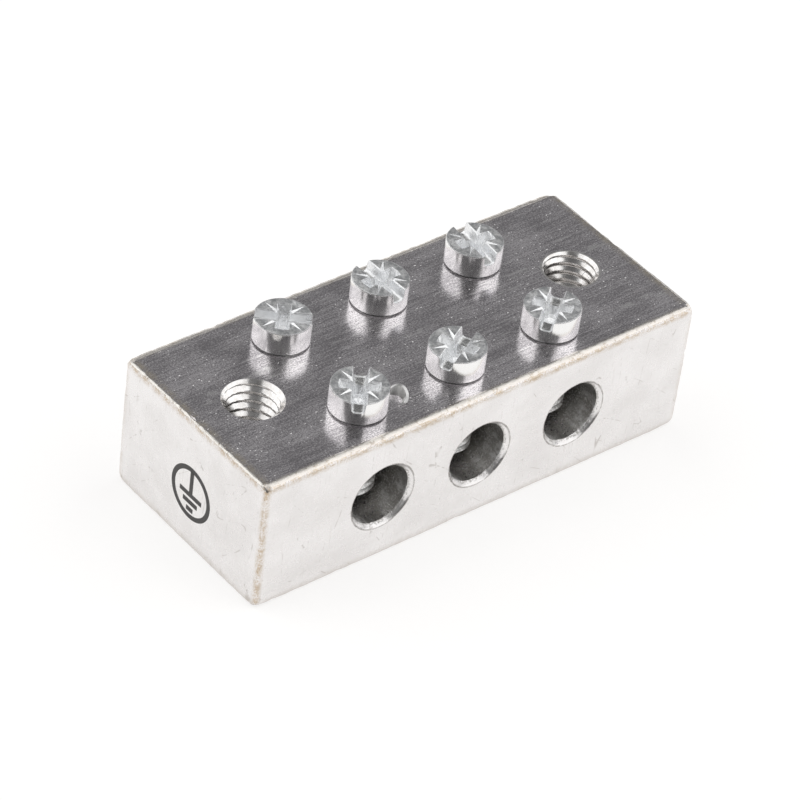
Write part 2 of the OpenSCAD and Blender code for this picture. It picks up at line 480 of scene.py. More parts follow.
def bar_mesh():
    """The bar as six flat faces with uneven outlines, joined by broken edges and rounded corners."""
    half = BAR_SIZE / 2
    middle = (BAR_LOW + BAR_HIGH) / 2
    settings = edge_settings(half)
    bm = bmesh.new()

    def width(along, signs, face_axis, place):
        """Width of an edge's break on one of its faces."""
        u, v = others(along)
        return edge_width(place, half[along], *settings[along, signs[u], signs[v], face_axis])

    def face_corner(axis, signs):
        """The corner of the face on an axis nearest to the box corner with these signs."""
        a, b = others(axis)
        point = Vector()
        point[axis] = signs[axis] * half[axis]
        point[a] = signs[a] * (half[a] - width(b, signs, axis, signs[b] * half[b]))
        point[b] = signs[b] * (half[b] - width(a, signs, axis, signs[a] * half[a]))
        return point + middle

    corners = {}
    for signs, axis in product(BOX_CORNERS, range(3)):
        corners[signs, axis] = bm.verts.new(face_corner(axis, signs))

    sides = {}
    ridges = {}
    for along in range(3):
        u, v = others(along)
        count = int(2 * half[along] / EDGE_STEP)
        for su, sv in product(SIGNS, repeat=2):
            low, high = edge_ends(along, su, sv)
            rows = []
            for axis, inset in ((u, v), (v, u)):
                first, last = corners[low, axis], corners[high, axis]
                row = [first]
                for i in range(1, count):
                    point = first.co.lerp(last.co, i / count)
                    reach = half[inset] - width(along, low, axis, point[along] - middle[along])
                    point[inset] = middle[inset] + low[inset] * reach
                    row.append(bm.verts.new(point))
                row.append(last)
                rows.append(row)
                sides[along, su, sv, axis] = row
            out = Vector()
            out[u], out[v] = su, sv
            ridge = []
            for p, q in zip(*rows):
                bulge = out.normalized() * (p.co - q.co).length * EDGE_BULGE[along]
                ridge.append(bm.verts.new((p.co + q.co) / 2 + bulge))
            ridges[along, su, sv] = ridge
            for row in rows:
                for i in range(count):
                    bm.faces.new((row[i], row[i + 1], ridge[i + 1], ridge[i]))

    add_flats(bm, sides)
    add_corner_tips(bm, corners, ridges)
    return bm


def mouth_rag(ray, column, end):
    """How far a bore's mouth is ragged inwards, in one direction from its axis."""
    spot = ray * RAG_WAVES + Vector((0, column * RAG_SPREAD + end, 0))
    rag = RAG_COARSE * noise.noise(spot) + RAG_FINE * max(0.0, noise.noise(spot * RAG_FINER))
    return max(0.0, rag)


def bore_cutters():
    """Three drilled cable bores whose countersunk mouths roll over with a slightly ragged lip."""
    bm = bmesh.new()
    half = BAR_SIZE.y / 2
    (first_r, first_deep), (second_r, second_deep) = MOUTH_PROFILE[:2]
    flare = (first_r - second_r) / (second_deep - first_deep)
    profile = [(first_r + OVER * flare, -OVER)] + MOUTH_PROFILE[1:]
    for column in BORE_COLUMNS:
        rings = []
        for end in SIGNS:
            mouth = []
            for (radius, deep), ragged in zip(profile, MOUTH_RAG):
                ring = []
                for i in range(BORE_SIDES):
                    angle = 2 * math.pi * i / BORE_SIDES
                    ray = Vector((math.cos(angle), 0, math.sin(angle)))
                    rag = mouth_rag(ray, column, end) * ragged
                    ring.append(ray * radius + Vector((0, end * (half - deep - rag), 0)))
                mouth.append(ring)
            rings += mouth if end < 0 else list(reversed(mouth))
        shift = Vector((column * BORE_PITCH, 0, BORE_Z))
        add_rings(bm, [[p + shift for p in ring] for ring in rings])
    return new_object("bore_cutters", bm)


def tapped_cutters(places):
    """The clamp screws' holes, from the top face into the bores, lightly chamfered."""
    bm = bmesh.new()
    top = BAR_HIGH.z
    widening = TAPPED_MOUTH_R - TAPPED_R
    stations = [(TAPPED_R, BORE_Z), (TAPPED_R, top - widening), (TAPPED_R + widening + OVER, top + OVER)]
    for place in places:
        shift = Vector((place.x, place.y, 0))
        add_rings(bm, [[p + shift for p in ring_points(r, z, ROUND_SIDES)] for r, z in stations])
    return new_object("tapped_cutters", bm)


def mount_cutters():
    """The two threaded mounting holes with chamfered mouths."""
    bm = bmesh.new()
    low, high = BAR_LOW.z - OVER, BAR_HIGH.z + OVER
    steps = int((high - low) / MOUNT_PITCH * MOUNT_STEPS)

    for side in SIGNS:
        def radius(angle, z):
            """Radius of this hole's thread or mouth."""
            wave = thread_wave(angle, z, MOUNT_PITCH)
            groove = MOUNT_CREST_R + (MOUNT_ROOT_R[side] - MOUNT_CREST_R) * (1 - wave)
            mouth = MOUNT_MOUTH_R[side] - min(BAR_HIGH.z - z, z - BAR_LOW.z)
            return max(groove, mouth)

        shift = Vector((side * MOUNT_X, 0, 0))
        levels = [low + (high - low) * i / steps for i in range(steps + 1)]
        add_rings(bm, [[p + shift for p in ring_points(radius, z, ROUND_SIDES)] for z in levels])
    return new_object("mount_cutters", bm)


# The screws

def screw_body(length):
    """A screw about Z with its head resting on z = 0 and a helical thread down to a chamfered tip."""
    def radius(angle, z):
        """Radius of the thread, which ends in a neck above and a cone below."""
        wave = thread_wave(angle, z, SHANK_PITCH)
        thread = SHANK_ROOT_R + (SHANK_R - SHANK_ROOT_R) * wave
        cone = SHANK_R - TIP_BREAK + (z + length)
        neck = SHANK_ROOT_R + max(0.0, -z - COLLAR_H) * NECK_SLOPE
        return min(thread, cone, neck)

    threaded = length - COLLAR_H
    steps = int(threaded / SHANK_PITCH * SHANK_STEPS)
    levels = [-length + threaded * i / steps for i in range(steps + 1)]
    rings = [ring_points(radius, z, ROUND_SIDES) for z in levels]
    profile = [(COLLAR_TIP_R, -COLLAR_H), (COLLAR_R, -COLLAR_STRAIGHT), (COLLAR_R, 0.0),
               (HEAD_R - HEAD_FOOT, 0.0), (HEAD_R, HEAD_FOOT)]
    for degrees in RIM_ANGLES:
        turn = math.radians(degrees)
        rim_r = HEAD_R - HEAD_RIM * (1 - math.sin(turn))
        profile.append((rim_r, HEAD_H - HEAD_RIM * (1 - math.cos(turn))))
    rings += [ring_points(r, z, ROUND_SIDES) for r, z in profile]
    bm = bmesh.new()
    add_rings(bm, rings)
    return new_object("screw_master", bm)


def slot_cutter():
    """The U-shaped driving slot along X, with rounded top edges, below z = 0."""
    half = SLOT_W / 2
    outline = [(half + SHOULDER + OVER, OVER)]
    outline += [(half + SHOULDER * out, -SHOULDER * down) for out, down in SHOULDER_PROFILE]
    outline.append((half - SHOULDER_END_IN, -SHOULDER_END_DOWN * SHOULDER))
    for i in range(SLOT_CORNER_STEPS + 1):
        angle = math.radians(90 * i / SLOT_CORNER_STEPS)
        outline.append((half - SLOT_DRAFT - SLOT_CORNER + SLOT_CORNER * math.cos(angle),
                        SLOT_CORNER - SLOT_DEPTH - SLOT_CORNER * math.sin(angle)))
    outline += [(-y, z) for y, z in reversed(outline)]
    reach = HEAD_R + OVER
    bm = bmesh.new()
    add_rings(bm, [[Vector((x, y, z)) for y, z in outline] for x in (-reach, reach)])
    return new_object("slot_cutter", bm)


def wing_cutter(turn):
    """One pair of flared cross wings whose ends have two facets each."""
    run = math.tan(math.radians(WING_SLOPE))
    flare = (WING_MOUTH_W - WING_FLOOR_W) / 2 / WING_DEPTH

    def level(z):
        """The wings' outline at a height."""
        reach = WING_REACH + z * run
        wide = WING_MOUTH_W / 2 + z * flare
        inner = reach - WING_NOSE
        return [Vector((reach, 0, z)), Vector((inner, wide, z)), Vector((-inner, wide, z)),
                Vector((-reach, 0, z)), Vector((-inner, -wide, z)), Vector((inner, -wide, z))]

    spin = Matrix.Rotation(math.radians(turn), 3, "Z")
    bm = bmesh.new()
    add_rings(bm, [[spin @ p for p in level(z)] for z in (-WING_DEPTH, CUTTER_RISE)])
    return new_object("wing_cutter", bm)


def point_cutter():
    """The blunt point at the bottom of the cross."""
    bm = bmesh.new()
    levels = [(POINT_TIP_R, -WING_DEPTH - POINT_DEPTH), (POINT_R, -WING_DEPTH),
              (POINT_R, -WING_DEPTH + CUTTER_RISE)]
    add_rings(bm, [ring_points(r, z, POINT_SIDES) for r, z in levels])
    return new_object("point_cutter", bm)


def tick_cutters():
    """Four shallow V marks between the wings, deepest at their inner ends."""
    bm = bmesh.new()
    grow = 1 + TICK_RISE / TICK_DEPTH
    half = TICK_W / 2 * grow
    outer = TICK_INNER + (TICK_OUTER - TICK_INNER) * grow
    points = [Vector((TICK_INNER, 0, -TICK_DEPTH)), Vector((TICK_INNER, half, TICK_RISE)),
              Vector((TICK_INNER, -half, TICK_RISE)), Vector((outer, 0, TICK_RISE))]
    for turn in TICK_TURNS:
        spin = Matrix.Rotation(math.radians(turn), 3, "Z")
        verts = [bm.verts.new(spin @ p) for p in points]
        for face in ((0, 1, 2), (0, 3, 1), (0, 2, 3), (1, 3, 2)):
            bm.faces.new([verts[i] for i in face])
    return new_object("tick_cutters", bm)


def soften_head(target):
    """Small bevels on the sharp edges of the head, apart from its rim."""
    bm = bmesh.new()
    bm.from_mesh(target.data)
    bmesh.ops.remove_doubles(bm, verts=bm.verts, dist=MERGE_WITHIN)
    bmesh.ops.dissolve_degenerate(bm, edges=bm.edges, dist=MERGE_WITHIN)
    rim_from = HEAD_R - RIM_REACH * HEAD_RIM
    sharp = []
    for edge in bm.edges:
        low, high = sorted(v.co.z for v in edge.verts)
        on_rim = all(v.co.xy.length > rim_from for v in edge.verts) and high - low < RIM_LEVEL
        if len(edge.link_faces) != 2 or low < SOFT_FROM_Z or on_rim:
            continue
        if math.degrees(edge.calc_face_angle(0.0)) > RECESS_SHARP_ANGLE:
            sharp.append(edge)
    bmesh.ops.bevel(bm, geom=sharp, offset=RECESS_BREAK, segments=RECESS_BREAK_STEPS,
                    affect="EDGES", profile=0.5, clamp_overlap=True)
    bm.to_mesh(target.data)
    bm.free()


def make_master_screw(shank_length):
    """A whole screw with its recess, from which the six are copied."""
    master = screw_body(shank_length)
    lift = Matrix.Translation((0, 0, HEAD_H))
    for cutter in (slot_cutter(), wing_cutter(0), wing_cutter(90), point_cutter(), tick_cutters()):
        cutter.data.transform(lift)
        cut_away(master, cutter)
    soften_head(master)
    return master


# The printed sign and the metal chip

def add_plate(bm, outline):
    """A film of ink on the end face, from an outline of (across, up) points."""
    levels = (BAR_LOW.x - SIGN_INK, BAR_LOW.x + SIGN_INK)
    add_rings(bm, [[Vector((x, -across, up)) for across, up in outline] for x in levels])


def earth_sign():
    """The protective earth sign: a ring around a stem and three bars, printed on the end face."""
    bm = bmesh.new()
    outer, inner = [], []
    for i in range(ROUND_SIDES):
        angle = 2 * math.pi * i / ROUND_SIDES
        ray = Vector((math.cos(angle), math.sin(angle)))
        outer.append(SIGN_MIDDLE + ray * SIGN_R)
        inner.append(SIGN_MIDDLE + ray * (SIGN_R - SIGN_STROKE))
    for i in range(ROUND_SIDES):
        j = (i + 1) % ROUND_SIDES
        add_plate(bm, [inner[i], outer[i], outer[j], inner[j]])
    bmesh.ops.remove_doubles(bm, verts=bm.verts, dist=SIGN_MERGE_WITHIN)
    strokes = [(SIGN_STROKE, 0.0, SIGN_R - SIGN_STROKE * STEM_END_IN)]
    strokes += [(width, -drop * SIGN_STROKE, (1 - drop) * SIGN_STROKE) for width, drop in SIGN_BARS]
    for width, low, high in strokes:
        corners = [(-width / 2, low), (width / 2, low), (width / 2, high), (-width / 2, high)]
        add_plate(bm, [SIGN_MIDDLE + Vector(corner) for corner in corners])
    return new_object("earth_sign", bm)


def metal_chip():
    """A small curled chip left beside the front left screw, standing on its edge on the bar."""
    bm = bmesh.new()
    centre = Vector((CHIP_X, CHIP_Y, BAR_HIGH.z))
    rings = []
    for i in range(CHIP_STEPS + 1):
        t = i / CHIP_STEPS
        swell = math.sin(math.pi * t)
        angle = math.radians(CHIP_START - CHIP_SWEEP * t)
        ray = Vector((math.cos(angle), math.sin(angle), 0))
        crest = math.sin(math.pi * min(1.0, t * CHIP_STRETCH + CHIP_MOVE))
        rise = CHIP_END_H + CHIP_RISE * crest ** 2
        foot = centre + ray * (CHIP_R - CHIP_CLOSING * t)
        thick = ray * (CHIP_THICK + CHIP_SWELL * swell)
        top = foot + ray * CHIP_LEAN * swell + Vector((0, 0, rise))
        edge = thick * CHIP_TOP_SHARE
        rings.append([foot - thick, foot + thick, top + edge, top - edge])
    add_rings(bm, rings)
    bmesh.ops.subdivide_edges(bm, edges=bm.edges, cuts=1, use_grid_fill=True)
    return new_object("metal_chip", bm)


# Shader helpers

def empty_tree(owner):
    """The emptied node tree of a material or a world."""
    owner.use_nodes = True
    owner.node_tree.nodes.clear()
    return owner.node_tree


def node(tree, kind, inputs=None, **settings):
    """Adds a shader node; an input that is a socket is linked, any other is set."""
    made = tree.nodes.new(kind)
    for key, value in settings.items():
        setattr(made, key, value)
    for key, value in (inputs or {}).items():
        if isinstance(value, bpy.types.NodeSocket):
            tree.links.new(value, made.inputs[key])
        else:
            made.inputs[key].default_value = value
    return made


def calc(tree, operation, a, b=0.0, c=0.0):
    """The result of an operation on values."""
    return node(tree, "ShaderNodeMath", {0: a, 1: b, 2: c}, operation=operation).outputs[0]


def times(tree, first, *rest):
    """The product of values."""
    for value in rest:
        first = calc(tree, "MULTIPLY", first, value)
    return first


def larger(tree, a, b):
    """The larger of two values."""
    return calc(tree, "MAXIMUM", a, b)


def sloped(tree, value, slope, start):
    """A value times a slope, plus a start."""
    return calc(tree, "MULTIPLY_ADD", value, slope, start)


def without(tree, value):
    """What a share leaves of 1."""
    return calc(tree, "SUBTRACT", 1.0, value)


def total(tree, *terms):
    """Sum of values times their weights."""
    result = 0.0
    for value, weight in terms:
        result = sloped(tree, value, weight, result)
    return result


def ramp(tree, value, low, high, to_low=0.0, to_high=1.0):
    """Smooth step of a value from one range to another."""
    made = node(tree, "ShaderNodeMapRange",
                {"Value": value, "From Min": low, "From Max": high, "To Min": to_low, "To Max": to_high},
                interpolation_type="SMOOTHSTEP")
    return made.outputs[0]


def fall(tree, value, low, high):
    """Smooth step of a value from 1 down to 0."""
    return ramp(tree, value, low, high, 1.0, 0.0)


def band(tree, value, rising, falling):
    """1 between a range where a value rises and one where it falls."""
    return times(tree, ramp(tree, value, *rising), fall(tree, value, *falling))


def thin_line(tree, value, at, width):
    """1 where a value is close to a given one, falling off to both sides."""
    away = calc(tree, "ABSOLUTE", calc(tree, "SUBTRACT", value, at))
    return fall(tree, away, 0.0, width)


def mix_colour(tree, factor, a, b):
    """A colour between two colours."""
    return node(tree, "ShaderNodeMix", {0: factor, 6: a, 7: b}, data_type="RGBA").outputs[2]


def mix_value(tree, factor, a, b):
    """A value between two values."""
    return node(tree, "ShaderNodeMix", {0: factor, 2: a, 3: b}, data_type="FLOAT").outputs[0]


def measure(tree, operation, *vectors):
    """A value measured on vectors."""
    made = node(tree, "ShaderNodeVectorMath", dict(enumerate(vectors)), operation=operation)
    return made.outputs["Value"]


def length_of(tree, across, along):
    """The length of a flat vector."""
    return measure(tree, "LENGTH", node(tree, "ShaderNodeCombineXYZ", {0: across, 1: along}).outputs[0])


def parts_of(tree, vector):
    """The three parts of a vector."""
    return node(tree, "ShaderNodeSeparateXYZ", {0: vector}).outputs


def stretched_noise(tree, place, stretch, detail, roughness):
    """Noise of a position in millimetres, with its own frequency along each axis."""
    scaled = node(tree, "ShaderNodeVectorMath", {0: place, 1: stretch}, operation="MULTIPLY").outputs[0]
    return node(tree, "ShaderNodeTexNoise",
                {"Vector": scaled, "Scale": 1.0, "Detail": detail, "Roughness": roughness}).outputs[0]


def named_noises(tree, place, table):
    """The noises of a table, by name."""
    return SimpleNamespace(**{name: stretched_noise(tree, place, *kind) for name, kind in table.items()})


def start_material(name, metallic):
    """A material, its tree and shader, the place in millimetres and the parts of the object's normal."""
    material = bpy.data.materials.new(name)
    tree = empty_tree(material)
    coords = node(tree, "ShaderNodeTexCoord")
    place = node(tree, "ShaderNodeVectorMath", {0: coords.outputs["Object"], "Scale": 1 / MM},
                 operation="SCALE").outputs[0]
    facing = parts_of(tree, coords.outputs["Normal"])
    shader = node(tree, "ShaderNodeBsdfPrincipled", {"Metallic": metallic})
    node(tree, "ShaderNodeOutputMaterial", {"Surface": shader.outputs[0]})
    return SimpleNamespace(material=material, tree=tree, shader=shader, place=place, facing=facing)


def dress(start, colour, rough, height, metallic=None):
    """Links a material's colour, roughness, height in millimetres and, where it varies, metalness."""
    tree, sockets = start.tree, start.shader.inputs
    tree.links.new(colour, sockets["Base Color"])
    tree.links.new(rough, sockets["Roughness"])
    if metallic is not None:
        tree.links.new(metallic, sockets["Metallic"])
    bump = node(tree, "ShaderNodeBump", {"Strength": 1.0, "Distance": MM, "Height": height})
    tree.links.new(bump.outputs[0], sockets["Normal"])
    return start.material


# Materials

def edge_distances(tree, spot):
    """Distances from the ends, the long sides and the flats of the bar."""
    half = BAR_SIZE / 2
    to_end = calc(tree, "SUBTRACT", half.x, calc(tree, "ABSOLUTE", spot[0]))
    to_side = calc(tree, "SUBTRACT", half.y, calc(tree, "ABSOLUTE", spot[1]))
    above_middle = calc(tree, "SUBTRACT", spot[2], half.z)
    to_flat = calc(tree, "SUBTRACT", half.z, calc(tree, "ABSOLUTE", above_middle))
    return to_end, to_side, to_flat


def bore_distance(tree, spot):
    """Distance from the axis of the nearest cable bore."""
    column = calc(tree, "ROUND", calc(tree, "DIVIDE", spot[0], BORE_PITCH))
    column = calc(tree, "MINIMUM", larger(tree, column, BORE_COLUMNS[0]), BORE_COLUMNS[-1])
    across = calc(tree, "SUBTRACT", spot[0], times(tree, column, BORE_PITCH))
    return length_of(tree, across, calc(tree, "SUBTRACT", spot[2], BORE_Z))


def mount_distance(tree, spot):
    """Distance from the axis of the nearest mounting hole."""
    across = calc(tree, "SUBTRACT", calc(tree, "ABSOLUTE", spot[0]), MOUNT_X)
    return length_of(tree, across, spot[1])


def brushed_top(tree, noises):
    """Colour, roughness and height of the bar's brushed top and underside."""
    specks = ramp(tree, noises.specks, 0.70, 0.75)
    specks = times(tree, specks, ramp(tree, noises.cloud, 0.42, 0.55, 0.1, 1.0))
    drawn = thin_line(tree, noises.drawn, 0.5, 0.035)
    drawn = times(tree, drawn, ramp(tree, noises.smudge, 0.48, 0.56, 0.0, 0.6))
    tone = total(tree, (noises.lines, 0.45), (noises.dashes, 0.4), (noises.grain, 1.4), (noises.cloud, 0.6))
    colour = mix_colour(tree, ramp(tree, tone, 1.20, 1.66), TOP_DARK, TOP_LIGHT)
    colour = mix_colour(tree, drawn, colour, TOP_SCRATCH)
    colour = mix_colour(tree, specks, colour, TOP_SPECK)
    rough = calc(tree, "ADD", total(tree, (noises.lines, 0.14), (noises.grain, 0.16)), 0.05)
    rough = mix_value(tree, specks, rough, 0.8)
    height = total(tree, (noises.lines, 0.0012), (noises.dashes, 0.0006), (noises.grain, 0.0016),
                   (specks, 0.006), (drawn, -0.003))
    return colour, rough, height


def satin_side(tree, place, noises):
    """Colour, roughness and height of the bar's satin sides."""
    slant = node(tree, "ShaderNodeVectorRotate",
                 {"Vector": place, "Axis": SLANT_AXIS, "Angle": SLANT_ANGLE})
    slanted = stretched_noise(tree, slant.outputs[0], *SLANT_NOISE)
    steep_lines = thin_line(tree, noises.steep, 0.5, 0.010)
    scratches = larger(tree, steep_lines, thin_line(tree, slanted, 0.5, 0.010))
    scratches = times(tree, ramp(tree, noises.smudge, 0.53, 0.59), scratches)
    colour = mix_colour(tree, ramp(tree, noises.cloud, 0.3, 0.7), SIDE_DARK, SIDE_LIGHT)
    colour = mix_colour(tree, ramp(tree, noises.smudge, 0.58, 0.78, 0.0, 0.35), colour, SIDE_SMUDGE)
    marks = ramp(tree, noises.upright, 0.56, 0.72)
    marks = times(tree, marks, ramp(tree, noises.cloud, 0.45, 0.6, 0.0, 0.35))
    colour = mix_colour(tree, marks, colour, SIDE_MARK)
    colour = mix_colour(tree, times(tree, scratches, 0.5), colour, SIDE_SCRATCH)
    rough = sloped(tree, noises.smudge, 0.24, 0.16)
    height = total(tree, (noises.smudge, 0.004), (noises.upright, 0.0012), (noises.cloud, 0.02),
                   (scratches, -0.006))
    return colour, rough, height


def drilled_bore(tree, noises, spot, from_bore, to_side):
    """Where the bores' walls are, their colour, with painted shade deeper in and painted light near the mouth
    and on the lower wall, and how far they are dulled by smears.
    """
    crumbled = sloped(tree, noises.crumbs, -0.70, calc(tree, "ADD", from_bore, 0.33))
    drilled = fall(tree, crumbled, BORE_R + 0.015, BORE_R + 0.045)
    # Partly wear and partly painted light and shade: the wall is lighter near the mouth and on the lower
    # wall, and darker deeper in
    lit_near_mouth = ramp(tree, total(tree, (to_side, -1.0), (noises.smudge, 4.0)), -0.4, 1.6)
    above_axis = calc(tree, "SUBTRACT", total(tree, (spot[2], 1.0), (noises.uneven, 1.2)), BORE_Z + 0.6)
    lit_lower_wall = band(tree, above_axis, (-2.3, -1.7), (-0.8, 0.4))
    rubbed_and_lit = times(tree, lit_near_mouth, sloped(tree, lit_lower_wall, 0.8, 0.2))
    smears = ramp(tree, noises.smears, 0.43, 0.56)
    colour = mix_colour(tree, smears, BORE_RUBBED_LIT, BORE_SMEARED)
    colour = mix_colour(tree, rubbed_and_lit, BORE_DEEP_SHADE, colour)
    return drilled, colour, times(tree, smears, rubbed_and_lit, drilled)


def worn_edges(tree, noises, spot, to_end, to_side, to_flat):
    """Where the edges are stained, where their plate is worn off, and the colour of the brass there."""
    wander = sloped(tree, noises.uneven, 0.20, -0.10)
    long_near = calc(tree, "ADD", larger(tree, to_side, to_flat), wander)
    lip_near = calc(tree, "ADD", larger(tree, times(tree, to_side, 0.8), times(tree, to_flat, 3.2)), wander)
    cap_near = calc(tree, "ADD", larger(tree, to_end, to_flat), wander)
    post_near = calc(tree, "ADD", larger(tree, to_end, to_side), wander)
    high = ramp(tree, spot[2], 4.0, 6.0, 0.15, 1.0)
    handled = ramp(tree, total(tree, (spot[0], 1.0), (spot[1], 1.0)), -24.0, -18.0, 1.0, 0.3)

    long_band = band(tree, long_near, (0.04, 0.12), (0.24, 0.70))
    cap_band = band(tree, cap_near, (0.08, 0.18), (0.24, 0.80))
    post_band = times(tree, fall(tree, post_near, 0.08, 0.55), handled)
    stained = larger(tree, times(tree, larger(tree, long_band, cap_band), high), post_band)
    blotch = total(tree, (noises.smudge, 0.6), (noises.crumbs, 0.5))
    stained = times(tree, stained, ramp(tree, blotch, 0.44, 0.68, 0.1, 1.0))

    bare_long = fall(tree, lip_near, 0.30, 0.42)
    bare_cap = fall(tree, cap_near, 0.10, 0.18)
    worn = times(tree, larger(tree, bare_long, bare_cap), high)
    dark = ramp(tree, total(tree, (noises.uneven, 0.6), (noises.crumbs, 0.4)), 0.53, 0.62, 0.0, 0.8)
    dark = times(tree, dark, mix_value(tree, bare_long, 1.0, 0.6))
    brass = mix_colour(tree, bare_long, END_BRASS, LONG_BRASS)
    return stained, worn, mix_colour(tree, dark, brass, DARK_BRASS)


def nickel_material():
    """Nickel plate over brass: brushed top, satin sides, brass along worn edges, dull drilled bores with
    painted light and shade, and painted shade along the foot.
    """
    start = start_material("nickel_plate", 1.0)
    tree = start.tree
    spot = parts_of(tree, start.place)
    to_end, to_side, to_flat = edge_distances(tree, spot)
    from_bore = bore_distance(tree, spot)
    noises = named_noises(tree, start.place, NICKEL_NOISES)
    on_top = ramp(tree, calc(tree, "ABSOLUTE", start.facing[2]), 0.85, 0.97)
    top_colour, top_rough, top_height = brushed_top(tree, noises)
    side_colour, side_rough, side_height = satin_side(tree, start.place, noises)
    drilled, bore_colour, dulled = drilled_bore(tree, noises, spot, from_bore, to_side)
    stained, worn, brass = worn_edges(tree, noises, spot, to_end, to_side, to_flat)
    dirt = thin_line(tree, from_bore, MOUTH_R + 0.03, 0.06)
    dirt = times(tree, dirt, ramp(tree, noises.uneven, 0.35, 0.55, 0.2, 0.85))
    # Painted shade: the colour darkens towards the bottom of the bar, where contact shade with the floor
    # would fall
    foot = ramp(tree, total(tree, (spot[2], 1.0), (noises.uneven, 0.5)), 0.25, 0.95, 0.40, 0.0)
    tapped = fall(tree, mount_distance(tree, spot), 2.0, 2.1)

    colour = mix_colour(tree, on_top, side_colour, top_colour)
    colour = mix_colour(tree, drilled, colour, bore_colour)
    colour = mix_colour(tree, dirt, colour, MOUTH_DIRT)
    colour = mix_colour(tree, stained, colour, mix_colour(tree, on_top, SIDE_STAIN, TOP_STAIN))
    colour = mix_colour(tree, times(tree, worn, 0.85), colour, brass)
    colour = mix_colour(tree, foot, colour, FOOT_SHADE)
    thread_colour = mix_colour(tree, ramp(tree, noises.uneven, 0.35, 0.65), THREAD_DARK, THREAD_LIGHT)
    colour = mix_colour(tree, tapped, colour, thread_colour)

    rough = mix_value(tree, on_top, side_rough, top_rough)
    rough = mix_value(tree, worn, rough, 0.34)
    rough = mix_value(tree, drilled, rough, 0.4)
    rough = mix_value(tree, tapped, rough, 0.17)

    height = mix_value(tree, on_top, side_height, top_height)
    height = sloped(tree, times(tree, noises.uneven, worn), 0.03, height)
    height = sloped(tree, times(tree, noises.smudge, drilled), 0.03, height)
    return dress(start, colour, rough, height, sloped(tree, dulled, -0.7, 1.0))


def screw_zones(tree, spot, facing, from_axis):
    """Shares of a screw's zones: stamped face, side, slot floor with painted shade, shank, dull collar and
    pressed recess.
    """
    face = times(tree, ramp(tree, spot[2], HEAD_H - 0.06, HEAD_H - 0.02), ramp(tree, facing[2], 0.80, 0.92))
    side = ramp(tree, from_axis, HEAD_R - 0.03, HEAD_R - 0.01)
    shaded_slot_floor = times(tree, thin_line(tree, spot[2], HEAD_H - SLOT_DEPTH, 0.12),
                       ramp(tree, facing[2], 0.75, 0.95),
                       fall(tree, from_axis, HEAD_R - 0.24, HEAD_R - 0.14))
    shank = fall(tree, spot[2], -COLLAR_H - 0.1, -COLLAR_H)
    collar = calc(tree, "SUBTRACT", fall(tree, spot[2], -0.01, 0.0), shank)
    underside = times(tree, fall(tree, facing[2], -0.9, -0.6), ramp(tree, spot[2], -0.1, 0.0))
    recess = times(tree, without(tree, face), without(tree, side), ramp(tree, spot[2], 0.05, 0.1),
                   without(tree, shaded_slot_floor))
    return SimpleNamespace(face=face, side=side, shaded_slot_floor=shaded_slot_floor, shank=shank,
                           collar=larger(tree, collar, underside), recess=recess)


def shank_look(tree, noises, spot, from_axis, shank_length):
    """Colour of the mottled shank, darkened in the grooves of its thread by dirt and painted shade."""
    colour = mix_colour(tree, ramp(tree, noises.grain, 0.36, 0.60), SHANK_DARK, SHANK_LIGHT)
    tip_z = TIP_BREAK - shank_length
    # Partly dirt and partly painted shade: the colour darkens towards the roots of the thread
    groove = fall(tree, from_axis, SHANK_ROOT_R, SHANK_R - 0.06)
    groove = times(tree, groove, ramp(tree, spot[2], tip_z, tip_z + 0.2))
    return mix_colour(tree, groove, colour, SHANK_GROOVE_DIRT_AND_SHADE)


def zinc_material(shank_length):
    """Bright zinc plate: dull stamped top and collar, pale recess whose slot floor has painted shade,
    smoother sides and mottled shank.
    """
    start = start_material("zinc_plate", 1.0)
    tree = start.tree
    own = times(tree, node(tree, "ShaderNodeObjectInfo").outputs["Random"], SCREW_SPREAD)
    shifted = node(tree, "ShaderNodeVectorMath", {0: start.place, 1: own}, operation="ADD").outputs[0]
    noises = named_noises(tree, shifted, ZINC_NOISES)
    spot = parts_of(tree, start.place)
    from_axis = length_of(tree, spot[0], spot[1])
    zones = screw_zones(tree, spot, start.facing, from_axis)

    colour = mix_colour(tree, ramp(tree, noises.cloud, 0.3, 0.7), RECESS_DARK, RECESS_LIGHT)
    # Painted shade: the slot floor is darkened by colour
    colour = mix_colour(tree, zones.shaded_slot_floor, colour, SLOT_FLOOR_SHADE)
    side_colour = mix_colour(tree, noises.drawn, HEAD_SIDE_DARK, HEAD_SIDE_LIGHT)
    colour = mix_colour(tree, zones.side, colour, side_colour)
    beat = total(tree, (noises.grain, 0.6), (noises.dents, 0.5))
    stamped = mix_colour(tree, ramp(tree, beat, 0.42, 0.70), STAMPED_DARK, STAMPED_LIGHT)
    colour = mix_colour(tree, zones.face, colour, stamped)
    colour = mix_colour(tree, zones.shank, colour, shank_look(tree, noises, spot, from_axis, shank_length))
    colour = mix_colour(tree, zones.collar, colour, COLLAR_PALE)

    rough = mix_value(tree, zones.face, sloped(tree, noises.dents, 0.28, 0.10), 0.36)
    rough = mix_value(tree, zones.side, rough, sloped(tree, noises.drawn, 0.2, 0.08))
    rough = mix_value(tree, larger(tree, zones.shank, zones.collar), rough, 0.4)

    stamped_height = total(tree, (noises.grain, 0.016), (noises.swell, 0.22))
    recess_height = total(tree, (noises.dents, 0.09), (noises.grain, 0.02))
    height = mix_value(tree, zones.face, recess_height, stamped_height)
    height = mix_value(tree, zones.side, height, times(tree, noises.drawn, 0.006))
    dull = larger(tree, zones.collar, times(tree, zones.recess, 0.4))
    return dress(start, colour, rough, height, sloped(tree, dull, -0.8, 1.0))


